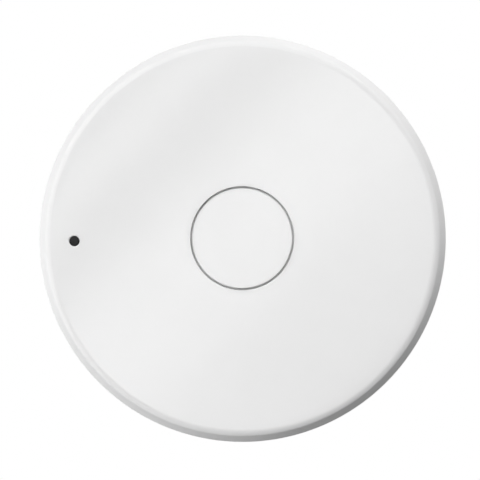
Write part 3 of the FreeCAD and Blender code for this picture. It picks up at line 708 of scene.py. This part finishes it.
bore_heights = (float(dome(window_far)) - WINDOW_BEVEL, inside_height)
bore = [np.dstack([mouth(WINDOW_HOLE)[None], np.full((1, len(border)), h)]) for h in bore_heights]
lip = mouth(WINDOW_HOLE + WINDOW_BEVEL)
lip = np.dstack([lip[None], dome(np.hypot(lip[:, 0], lip[:, 1]))[None]])
window_wall = (np.concatenate([lip, *bore]), True)

# %% [markdown]
# Inside the cover
#
# A shell 2 mm thick would flex, so webs tie three screw bosses to the wall and six ribs clamp the board. The
# guide ring has two slots that keep the button's ears from turning. All of them start inside the top wall, so
# that no gap shows between them and the shell.

# %% Bosses, webs, ribs and the guide ring
ROOT = 0.6
BOARD_FRONT = -span("circuit_board")[0][1]
BOSS_LOW = 5.9
BOSS_RADIUS = 2.88
PILOT_RADIUS = 1.1
PILOT_TOP = 12.5
SCREW_CIRCLE = 32.5
SCREW_TURNS = (90.0, 210.0, 330.0)
GUIDE_OUTER = 12.68
GUIDE_INNER = 11.48
GUIDE_LOW = 12.9
GUIDE_SLOT = 3.0
root_height = inside_height + ROOT


def boss(turn_angle):
    """A post with a pilot hole for a screw, at this angle on the screws' circle."""
    post = rounded([
        (0, PILOT_TOP, 0), (PILOT_RADIUS, PILOT_TOP, 0), (PILOT_RADIUS, BOSS_LOW, 0.15),
        (BOSS_RADIUS, BOSS_LOW, 0.15), (BOSS_RADIUS, root_height, 0), (0, root_height, 0),
    ])
    return turned(post, 40, *on_circle(SCREW_CIRCLE, turn_angle))


def spoke(inner, thickness, turn_angle):
    """A rib or web on the inside of the wall, this thick, centred on an angle."""
    sweep = math.degrees(thickness / skirt_radius)
    outer = skirt_radius + ROOT
    return closed_wedge(outer, inner, BOARD_FRONT, root_height, turn_angle - sweep / 2, sweep)


def guide_half(first):
    """Half of the guide ring, between its two slots."""
    gap = math.degrees(math.asin(GUIDE_SLOT / 2 / GUIDE_INNER))
    return closed_wedge(GUIDE_OUTER, GUIDE_INNER, GUIDE_LOW, root_height, first + gap, 180 - 2 * gap, 72)


WEB = 1.4
WEB_CLEAR = 0.4
CLAMP = 3.0
CLAMP_INNER = 35.4
cover_inside = [boss(turn_angle) for turn_angle in SCREW_TURNS]
for turn_angle in SCREW_TURNS:
    cover_inside += spoke(SCREW_CIRCLE + PILOT_RADIUS + WEB_CLEAR, WEB, turn_angle)
for turn_angle in range(0, 360, 60):
    cover_inside += spoke(CLAMP_INNER, CLAMP, turn_angle)
cover_inside += guide_half(0.0) + guide_half(180.0)

# %% The cover in one mesh
hole_leans = np.linspace(math.pi / 2, 0, 6)
hole_rim = float(dome(HOLE_RADIUS + HOLE_EDGE))
hole_run = np.stack([
    HOLE_RADIUS + HOLE_EDGE - HOLE_EDGE * np.sin(hole_leans),
    hole_rim - HOLE_EDGE + HOLE_EDGE * np.cos(hole_leans),
], 1)
inner_face = np.linspace(HOLE_RADIUS + HOLE_EDGE, field_radii[0], 14)[1:]
outer_face = np.linspace(field_radii[-1], roll_start, 4)
inner_back = np.linspace(HOLE_RADIUS, field_radii[0], 6)[::-1]
outer_back = np.linspace(field_radii[-1], back_reach, 3)[:-1][::-1]
middle_run = np.concatenate([
    flat_profile(inner_back, inside_height),
    hole_run,
    face_profile(inner_face),
])
outer_run = np.concatenate([
    face_profile(outer_face),
    roll_run[:-1],
    rim_run,
    flat_profile(outer_back, inside_height),
])
cover_skin = [
    turned(middle_run, SEGMENTS),
    turned(outer_run, SEGMENTS),
    strip(dome),
    strip(level),
    field(dome, WINDOW_HOLE + WINDOW_BEVEL),
    field(level, WINDOW_HOLE, 4),
    window_wall,
]
piece("cover_shell", cover_skin + cover_inside, "front_cover", "white_shell")

# %% [markdown]
# The button
#
# The button carries the face's bulge on, so that the disc reads as one surface cut by a thin groove. Its rim is
# rounded by a tenth of a millimetre, which is what catches the light on one side of the groove. A bevel modifier
# could round it, but a profile places every point itself, and the grid stays even. Under the top, a skirt ends in
# a flange that can't pass the cover's hole, two ears ride in the guide's slots, and six ribs keep the thin top
# from drumming.

# %% The push button
BUTTON_RADIUS = 9.82
BUTTON_EDGE = 0.1
FLANGE_RADIUS = 11.23
FLANGE_LOW = 13.9
SKIRT_INNER = 8.68
BUTTON_INSIDE = 15.2
POST_RADIUS = 2.2
POST_LOW = 14.4
RIB_REACH = 6.54
RIB_THICKNESS = 0.8
EAR_WIDTH = 2.6
EAR_REACH = 12.23
EAR_SINK = 0.02
SKIRT_ROOT = 0.6
TOP_ROOT = 0.3


def block(low, high, turn_angle):
    """A block between two corners, in stack coordinates, turned about the axis: a loop of sides and two lids."""
    (x0, y0, z0), (x1, y1, z1) = low, high
    base = np.array([(x0, y0), (x1, y0), (x1, y1), (x0, y1)])
    a = math.radians(turn_angle)
    base = base @ np.array([[math.cos(a), math.sin(a)], [-math.sin(a), math.cos(a)]])
    rings = np.stack([np.column_stack([base, np.full(4, z)]) for z in (z0, z1)])
    lids = [(ring[[0, 1, 3, 2]].reshape(2, 2, 3), False) for ring in rings]
    return [(rings, True), *lids]


def crown(outer, edge, count=26):
    """The bulged top of a disc: from the middle out to its rounded rim, as a profile."""
    radii = np.linspace(0, outer - edge, count)
    leans = np.linspace(0, math.pi / 2, 6)[1:]
    shoulder = float(dome(outer - edge))
    bend = np.stack([outer - edge + edge * np.sin(leans), shoulder - edge + edge * np.cos(leans)], 1)
    return np.concatenate([face_profile(radii), bend])


button_under = rounded([
    (BUTTON_RADIUS, face_height - 0.5, 0),
    (BUTTON_RADIUS, inside_height, 0),
    (FLANGE_RADIUS, inside_height, 0.08),
    (FLANGE_RADIUS, FLANGE_LOW, 0.1),
    (SKIRT_INNER, FLANGE_LOW, 0.1),
    (SKIRT_INNER, BUTTON_INSIDE, 0.3),
    (0, BUTTON_INSIDE, 0),
], 4)
button_skin = [turned(np.concatenate([crown(BUTTON_RADIUS, BUTTON_EDGE), button_under]), 256)]
button_skin.append(turned(rounded([
    (0, POST_LOW, 0), (POST_RADIUS, POST_LOW, 0.15), (POST_RADIUS, BUTTON_INSIDE + TOP_ROOT, 0),
    (0, BUTTON_INSIDE + TOP_ROOT, 0),
]), 48))
for turn_angle in range(0, 360, 60):
    low = (POST_RADIUS / 2, -RIB_THICKNESS / 2, POST_LOW)
    button_skin += block(low, (RIB_REACH, RIB_THICKNESS / 2, BUTTON_INSIDE + TOP_ROOT), turn_angle)
for turn_angle in (0, 180):
    low = (BUTTON_RADIUS - SKIRT_ROOT, -EAR_WIDTH / 2, FLANGE_LOW + EAR_SINK)
    button_skin += block(low, (EAR_REACH, EAR_WIDTH / 2, inside_height - EAR_SINK), turn_angle)
piece("button_shell", button_skin, "button_cap", "white_button")

# %% [markdown]
# The window of the status light
#
# The light guide is a rod of smoked plastic with a flange that stops it behind the cover. Its end sits just
# under the face, with a rounded rim, so that it lies in the cover's bevelled mouth like a button in a shirt.

# %% The smoked light guide
ROD_RADIUS = 1.0
ROD_FLANGE = 1.7
ROD_FLANGE_HEIGHT = 0.6
ROD_EDGE = 0.12
rod_low = -lens_high[1]
rod_top = -lens_low[1]
rod = rounded([
    (0, rod_low, 0), (ROD_RADIUS, rod_low, 0.08), (ROD_RADIUS, inside_height - ROD_FLANGE_HEIGHT, 0),
    (ROD_FLANGE, inside_height - ROD_FLANGE_HEIGHT, 0.1), (ROD_FLANGE, inside_height, 0.1),
    (ROD_RADIUS, inside_height, 0), (ROD_RADIUS, rod_top - 0.05, ROD_EDGE),
    (ROD_RADIUS - 0.5, rod_top - 0.01, 0), (0, rod_top, 0),
])
piece("window_rod", [turned(rod, 64, *window_middle)], "led_lens", "smoked_window")

# %% [markdown]
# Foam pad and grip pads
#
# Foam is cut with a die that squeezes it, so its edge bulges in the middle and is never quite round: three slow
# waves and a fast one, each a few hundredths of a millimetre, stand for that. The silicone pads are moulded
# with a rounded crown, and touch the plate only with the middle of it.

# %% Soft discs
PAD_BULGE = 0.12
PAD_RIM = 0.06


def soft_disc(radius, low, high, bulge, wave, count):
    """A disc with a bulged edge: r = radius - bulge (2t - 1)^4 up the edge, less a sum of waves round it."""
    t = np.linspace(0, 1, 9)
    side = np.stack([radius - bulge * (2 * t - 1) ** 4, low + (high - low) * t], 1)
    inner = np.linspace(0, radius - 1.5 * bulge, 12)
    lower = np.stack([inner, np.full(12, low)], 1)
    profile = np.concatenate([lower, side, lower[::-1] + (0, high - low)])
    points, loop = turned(profile, count)
    a = np.arctan2(points[..., 1], points[..., 0])
    waves = (np.sin(3 * a + 1.0) + 0.6 * np.sin(7 * a + 2.2) + 0.5 * np.sin(19 * a) + 2.1) / 4.2
    points[..., :2] *= 1 - wave * waves[..., None] / radius
    return points, loop


pad_low, pad_high = span("adhesive_pad")
pad_radius = (pad_high[0] - pad_low[0]) / 2
foam_disc = soft_disc(pad_radius, -pad_high[1], -pad_low[1], PAD_BULGE, PAD_RIM, 256)
pad = piece("foam_pad", [foam_disc], "adhesive_pad", "grey_foam")

GRIP_RADIUS = 3.0
GRIP_CIRCLE = 32.0
GRIP_TURNS = (30, 150, 270)
grip_low, grip_high = span("grip_pads")
crowned = rounded([
    (0, -grip_high[1], 0), (GRIP_RADIUS - 0.9, -grip_high[1], 0.8),
    (GRIP_RADIUS, -grip_high[1] + 0.35, 0.2), (GRIP_RADIUS, -grip_low[1], 0.05), (0, -grip_low[1], 0),
], 7)
grip_sheets = [turned(crowned, 64, *on_circle(GRIP_CIRCLE, turn_angle)) for turn_angle in GRIP_TURNS]
piece("grip_domes", grip_sheets, "grip_pads", "silicone")

# %% [markdown]
# The screws
#
# A self-tapping screw is a surface of two parameters all over. Its thread is a radius that depends on how far a
# point has climbed past the helix, its tip tapers, and the cross in its head is a depth that depends on the
# distance to the nearer arm of the cross, with the slanted walls that such a recess has.

# %% Self-tapping screws
HEAD_RADIUS = 2.0
HEAD_LOW = 3.3
HEAD_SEAT = 4.7
SCREW_END = 11.7
SHANK_RADIUS = 1.08
CORE_RADIUS = 0.80
PITCH = 0.9
TAPER = 1.6
CROSS_DEPTH = 0.7
CROSS_HALF_WIDTH = 0.25
CROSS_REACH = 1.1
CROSS_SIDE = 0.08
CROSS_END = 0.45


def threaded_shank(count=48, rows=150):
    """The thread: radius = core + (outer - core) * ridge, with ridge a peak at each turn of the helix."""
    a = np.linspace(0, 2 * np.pi, count, endpoint=False)
    height = np.linspace(HEAD_SEAT - 0.1, SCREW_END, rows)[:, None]
    phase = (height / PITCH - a / (2 * np.pi)) % 1.0
    ridge = np.clip(1 - np.abs(phase - 0.5) / 0.3, 0, 1)
    shrink = np.clip((SCREW_END - height) / TAPER, 0.04, 1) ** 0.8
    start = np.clip((height - HEAD_SEAT) / PITCH, 0, 1)
    radius = shrink * (CORE_RADIUS + (SHANK_RADIUS - CORE_RADIUS) * ridge * start)
    tube = np.stack([radius * np.cos(a), radius * np.sin(a), np.broadcast_to(height, radius.shape)], -1)
    ends = (height[0, 0], SCREW_END)
    middles = [np.broadcast_to(np.array([0, 0, end], float), (1, count, 3)) for end in ends]
    return np.concatenate([middles[0], tube, middles[1]]), True


def screw_head(count=96):
    """A pan head: a turned profile whose face, toward the wall, is pushed in along a cross."""
    face = rounded([(0, HEAD_LOW, 0), (HEAD_RADIUS, HEAD_LOW, 0.45), (HEAD_RADIUS, HEAD_LOW + 0.7, 0)], 8)
    radii = np.linspace(0, HEAD_RADIUS - 0.46, 30)
    flat = np.stack([radii, np.full(30, HEAD_LOW)], 1)
    seat = np.array([(HEAD_RADIUS, HEAD_SEAT), (0, HEAD_SEAT)])
    points, loop = turned(np.concatenate([flat, face[1:], seat]), count)
    x, y, z = np.moveaxis(points, -1, 0)
    across = np.minimum(np.abs(x), np.abs(y))
    along = np.maximum(np.abs(x), np.abs(y))
    slope = np.clip((CROSS_HALF_WIDTH - across) / CROSS_SIDE, 0, 1)
    slope = slope * np.clip((CROSS_REACH - along) / CROSS_END, 0, 1)
    on_face = z < HEAD_LOW + 0.3
    points[..., 2] += np.where(on_face, CROSS_DEPTH * slope, 0)
    return points, loop


screw_sheets = []
for turn_angle in SCREW_TURNS:
    place = np.array([*on_circle(SCREW_CIRCLE, turn_angle), 0])
    for points, loop in (threaded_shank(), screw_head()):
        screw_sheets.append((points + place, loop))
piece("tapping_screws", screw_sheets, "housing_screws", "black_screw", 40)

# %% [markdown]
# Springs and snap domes
#
# Three pieces bend when a button is pressed: the return spring and the snap domes of the two switches. They ride
# with the board and keep the shape they have at rest, each with a mesh of its own. The coil is a tube round a
# helix whose two ends run level, because a spring has to stand flat. A snap dome is a thin cap of a ball.

# %% The return spring
WIRE_RADIUS = 0.22
SPRING_TURNS = 3.0
LEVEL_SHARE = 0.12
joints = frame["record"]["behaviour"]["joints"]
strokes = {joint["name"]: joint["range_m"][1] / MM for joint in joints if "range_m" in joint}
print("strokes in mm:", strokes)


def coil(low, high, radius, turns, count=361, around=16):
    """A tube round a helix: the middle climbs with its angle, and a ring of the wire's radius stands across it."""
    t = np.linspace(0, 1, count)
    a = 2 * np.pi * turns * t
    climb = np.clip((t - LEVEL_SHARE) / (1 - 2 * LEVEL_SHARE), 0, 1)
    climb = climb * climb * (3 - 2 * climb)
    middle = np.stack([radius * np.cos(a), radius * np.sin(a), low + (high - low) * climb], 1)
    ahead = np.gradient(middle, axis=0)
    ahead /= np.linalg.norm(ahead, axis=1)[:, None]
    outward = np.stack([np.cos(a), np.sin(a), np.zeros(count)], 1)
    across = np.cross(ahead, outward)
    b = np.linspace(0, 2 * np.pi, around, endpoint=False)[None, :, None]
    tube = middle[:, None] + WIRE_RADIUS * (np.cos(b) * outward[:, None] + np.sin(b) * across[:, None])
    ends = [np.broadcast_to(middle[i], (1, around, 3)) for i in (0, -1)]
    return np.concatenate([ends[0], tube, ends[1]]), True


def give(made, joint, foot, height):
    """Gives the piece a mesh of its own; the stroke is not taken from its shape, so it keeps its height."""
    -foot * MM
    1 - strokes[joint] / height
    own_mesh(made)


spring_low, spring_high = span("return_spring")
spring_radius = (spring_high[0] - spring_low[0]) / 2 - WIRE_RADIUS
spring_foot, spring_top = -spring_high[1], -spring_low[1]
spring = coil(spring_foot + WIRE_RADIUS, spring_top - WIRE_RADIUS, spring_radius, SPRING_TURNS)
coil_spring = piece("coil_spring", [spring], "return_spring", "spring_steel", 50)
give(coil_spring, "button_press", spring_foot, spring_top - spring_foot)

# %% Snap domes
DOME_SHEET = 0.08
DOME_STEPS = 16


def snap_dome(name, node, joint, way):
    """A cap of a hollow ball, up or down from its rim: height = sqrt(ball^2 - radius^2) - (ball - rise)."""
    low, high = span(node)
    rise = high[1] - low[1]
    reach = (high[0] - low[0]) / 2
    ball = (reach ** 2 + rise ** 2) / (2 * rise)
    hollow = ball - DOME_SHEET
    outer = np.linspace(0, reach, DOME_STEPS)
    inner = np.linspace(math.sqrt(hollow ** 2 - (ball - rise) ** 2), 0, DOME_STEPS)
    radii = np.concatenate([outer, inner])
    balls = np.repeat([ball, hollow], DOME_STEPS)
    foot = -high[1] if way > 0 else -low[1]
    heights = foot + way * (np.sqrt(balls ** 2 - radii ** 2) - (ball - rise))
    sheet = turned(np.stack([radii, heights], 1), 72, (low[0] + high[0]) / 2, (low[2] + high[2]) / 2)
    give(piece(name, [sheet], node, "spring_steel", 50), joint, foot, rise)


snap_dome("snap_dome_main", "switch_dome", "button_press", 1)
snap_dome("snap_dome_pairing", "pairing_switch_dome", "pairing_press", -1)

# %% [markdown]
# The camera of the photograph
#
# The photograph looks almost straight at the face through a long lens. Its disc is 203.2 pixels in radius in a
# 480 pixel frame, which with the real radius gives the lens for a camera one metre away. The front of the
# module sits a pixel up and left of the outer edge, so the camera stands a little to the lower right of the
# middle, and the window sits 2.9 pixels lower than the button, so the camera is rolled by almost a degree.

# %% Camera
FRAME_PIXELS = 480
DISC_PIXELS = 203.16
DISC_MIDDLE = (242.52, 238.60)
EDGE_HEIGHT = 13.87
DISTANCE = 1000.0
OFF_AXIS = math.radians(1.65)
ROLL = math.radians(0.91)
SENSOR = 36.0

pixels_per_mm = DISC_PIXELS / body_radius
lens_length = pixels_per_mm * DISTANCE * SENSOR / FRAME_PIXELS
lower_right = Vector((1, 0, -1)).normalized()
outward = Vector((0, -1, 0)) * math.cos(OFF_AXIS) + lower_right * math.sin(OFF_AXIS)
turn = (-outward).to_track_quat("-Z", "Y") @ Quaternion((0, 0, 1), -ROLL)
right = turn @ Vector((1, 0, 0))
up = turn @ Vector((0, 1, 0))
aim = Vector((0, -EDGE_HEIGHT, 0))
aim -= right * (DISC_MIDDLE[0] - FRAME_PIXELS / 2) / pixels_per_mm
aim -= up * (FRAME_PIXELS / 2 - DISC_MIDDLE[1]) / pixels_per_mm

camera_data = bpy.data.cameras.new("camera")
camera_data.sensor_width = SENSOR
camera_data.lens = lens_length
camera_data.clip_start = 0.01
camera_data.clip_end = 20.0
camera = bpy.data.objects.new("camera", camera_data)
camera.location = (aim + outward * DISTANCE) * MM
camera.rotation_mode = "QUATERNION"
camera.rotation_quaternion = turn
scene.collection.objects.link(camera)
scene.camera = camera
print("lens", round(lens_length, 1), "mm")

# %% [markdown]
# Floor, background and light
#
# The background is white paper: the world is white wherever the camera, a reflection or a view through clear
# plastic meets it. Where it only lights the module it is nearly dark in front, because every grey of the sloped
# ring comes from the lamps, and bright straight behind, where it lights the back evenly as a pale wall would.
# The module hangs on a wall, so the floor lies well below it, and its shadow there is wide and soft.

# %% World and floor
scene.view_settings.view_transform = "Standard"

AMBIENT = 0.03
BEHIND = 1.7
world = bpy.data.worlds.new("studio")
scene.world = world
world.use_nodes = True
sky = Network(world.node_tree)
direction = sky.node("ShaderNodeTexCoord", output="Generated")
depth = sky.node("ShaderNodeSeparateXYZ", None, {0: direction}, "Y")
glow = depth.step(0.4, 0.9, AMBIENT, BEHIND)
shown = {"Value": sky.looked_at(), "To Min": glow, "To Max": 1.0}
strength = sky.node("ShaderNodeMapRange", None, shown)
backdrop = world.node_tree.nodes["Background"]
backdrop.inputs["Color"].default_value = grey(1.0)
world.node_tree.links.new(strength.socket, backdrop.inputs["Strength"])

FLOOR_DROP = 250.0
FLOOR_RADIUS = 1600.0
FLOOR_STEPS = 96
angles = np.linspace(0, 2 * np.pi, FLOOR_STEPS, endpoint=False)
rim = np.stack([np.cos(angles), np.sin(angles), np.zeros(FLOOR_STEPS)], 1) * FLOOR_RADIUS * MM
rim[:, 2] = -FLOOR_DROP * MM
floor_mesh = bpy.data.meshes.new("floor")
floor_mesh.from_pydata(rim.tolist(), [], [list(range(FLOOR_STEPS))])
floor = bpy.data.objects.new("floor", floor_mesh)
scene.collection.objects.link(floor)
paper = Finish("paper", Roughness=0.9, Emission_Strength=1.0)
fibre = paper.noise(1.5, 4.0)
sheet = paper.blend(fibre.step(0.3, 0.7), grey(0.80), grey(0.83))
paper.feed(
    Base_Color=paper.blend(paper.looked_at(), grey(0.22), sheet),
    Emission_Color=paper.blend(paper.ray("Camera"), grey(0.0), grey(0.5)),
)
floor.data.materials.append(paper.material)


# %% [markdown]
# Lamps
#
# The ring round the face slopes by sixty degrees, so it works like a dial of the light: each part of it looks in
# its own direction. In the photograph it is bright from the lower left over the top to the right, and dark toward
# the lower right. A long key lamp high at the upper left gives most of that, and three low ones fill in its ends.
# They are large, because a small lamp would draw a hard bright line into the rounded edge of the face.

# %% Soft boxes
def soft_box(name, azimuth, elevation, watts, width, height=None, reach=700.0, lean=0.0):
    """A lamp that looks at the module from an angle round its axis and an angle off its face.

    Its width and height are in millimetres, and it leans clockwise by some degrees as the camera sees it.
    """
    a = math.radians(azimuth)
    e = math.radians(elevation)
    towards = Vector((math.cos(a) * math.cos(e), -math.sin(e), math.sin(a) * math.cos(e)))
    data = bpy.data.lights.new(name, "AREA")
    data.shape = "RECTANGLE"
    data.size = width * MM
    data.size_y = (height or width) * MM
    data.energy = watts
    lamp = bpy.data.objects.new(name, data)
    lamp.location = towards * reach * MM
    lamp.rotation_mode = "QUATERNION"
    lamp.rotation_quaternion = towards.to_track_quat("Z", "Y") @ Quaternion((0, 0, 1), -math.radians(lean))
    scene.collection.objects.link(lamp)


soft_box("key_upper_left", 120, 58, 6.35, 500, 1300, reach=900, lean=60)
soft_box("low_left", 191, 12, 2.3, 450, 100)
soft_box("low_upper_right", 60, 5, 2.4, 600)
soft_box("right", 45, 15, 0.6, 300)


# %% [markdown]
# What the face mirrors
#
# The face is a shallow mirror: a point on it reflects a place behind the camera that moves by a fifth of a degree
# per millimetre across the face. The photograph shows a faint broad band across the middle and a thin one near
# the upper left edge, both running from the lower left to the upper right. Long lamps behind the camera, turned
# that way, give those bands, and their places follow from the same fifth of a degree.

# %% Strips that the face mirrors
def sheen(name, off_axis, half_width, radiance, reach=1150.0, length=440.0):
    """A long lamp behind the camera, seen mirrored in the face as a band from lower left to upper right.

    It stands off_axis degrees toward the upper left and is twice half_width degrees wide. An area lamp of
    radiance L and area A has pi L A watts.
    """
    width = 2 * reach * math.tan(math.radians(half_width))
    watts = math.pi * radiance * width * length * MM * MM
    soft_box(name, 135, 90 - off_axis, watts, width, length, reach, 45)


sheen("sheen_middle", 1.65, 2.4, 1.7)
sheen("sheen_wide", -0.5, 5.5, 2.95)
sheen("sheen_line", 7.75, 0.35, 7.5)
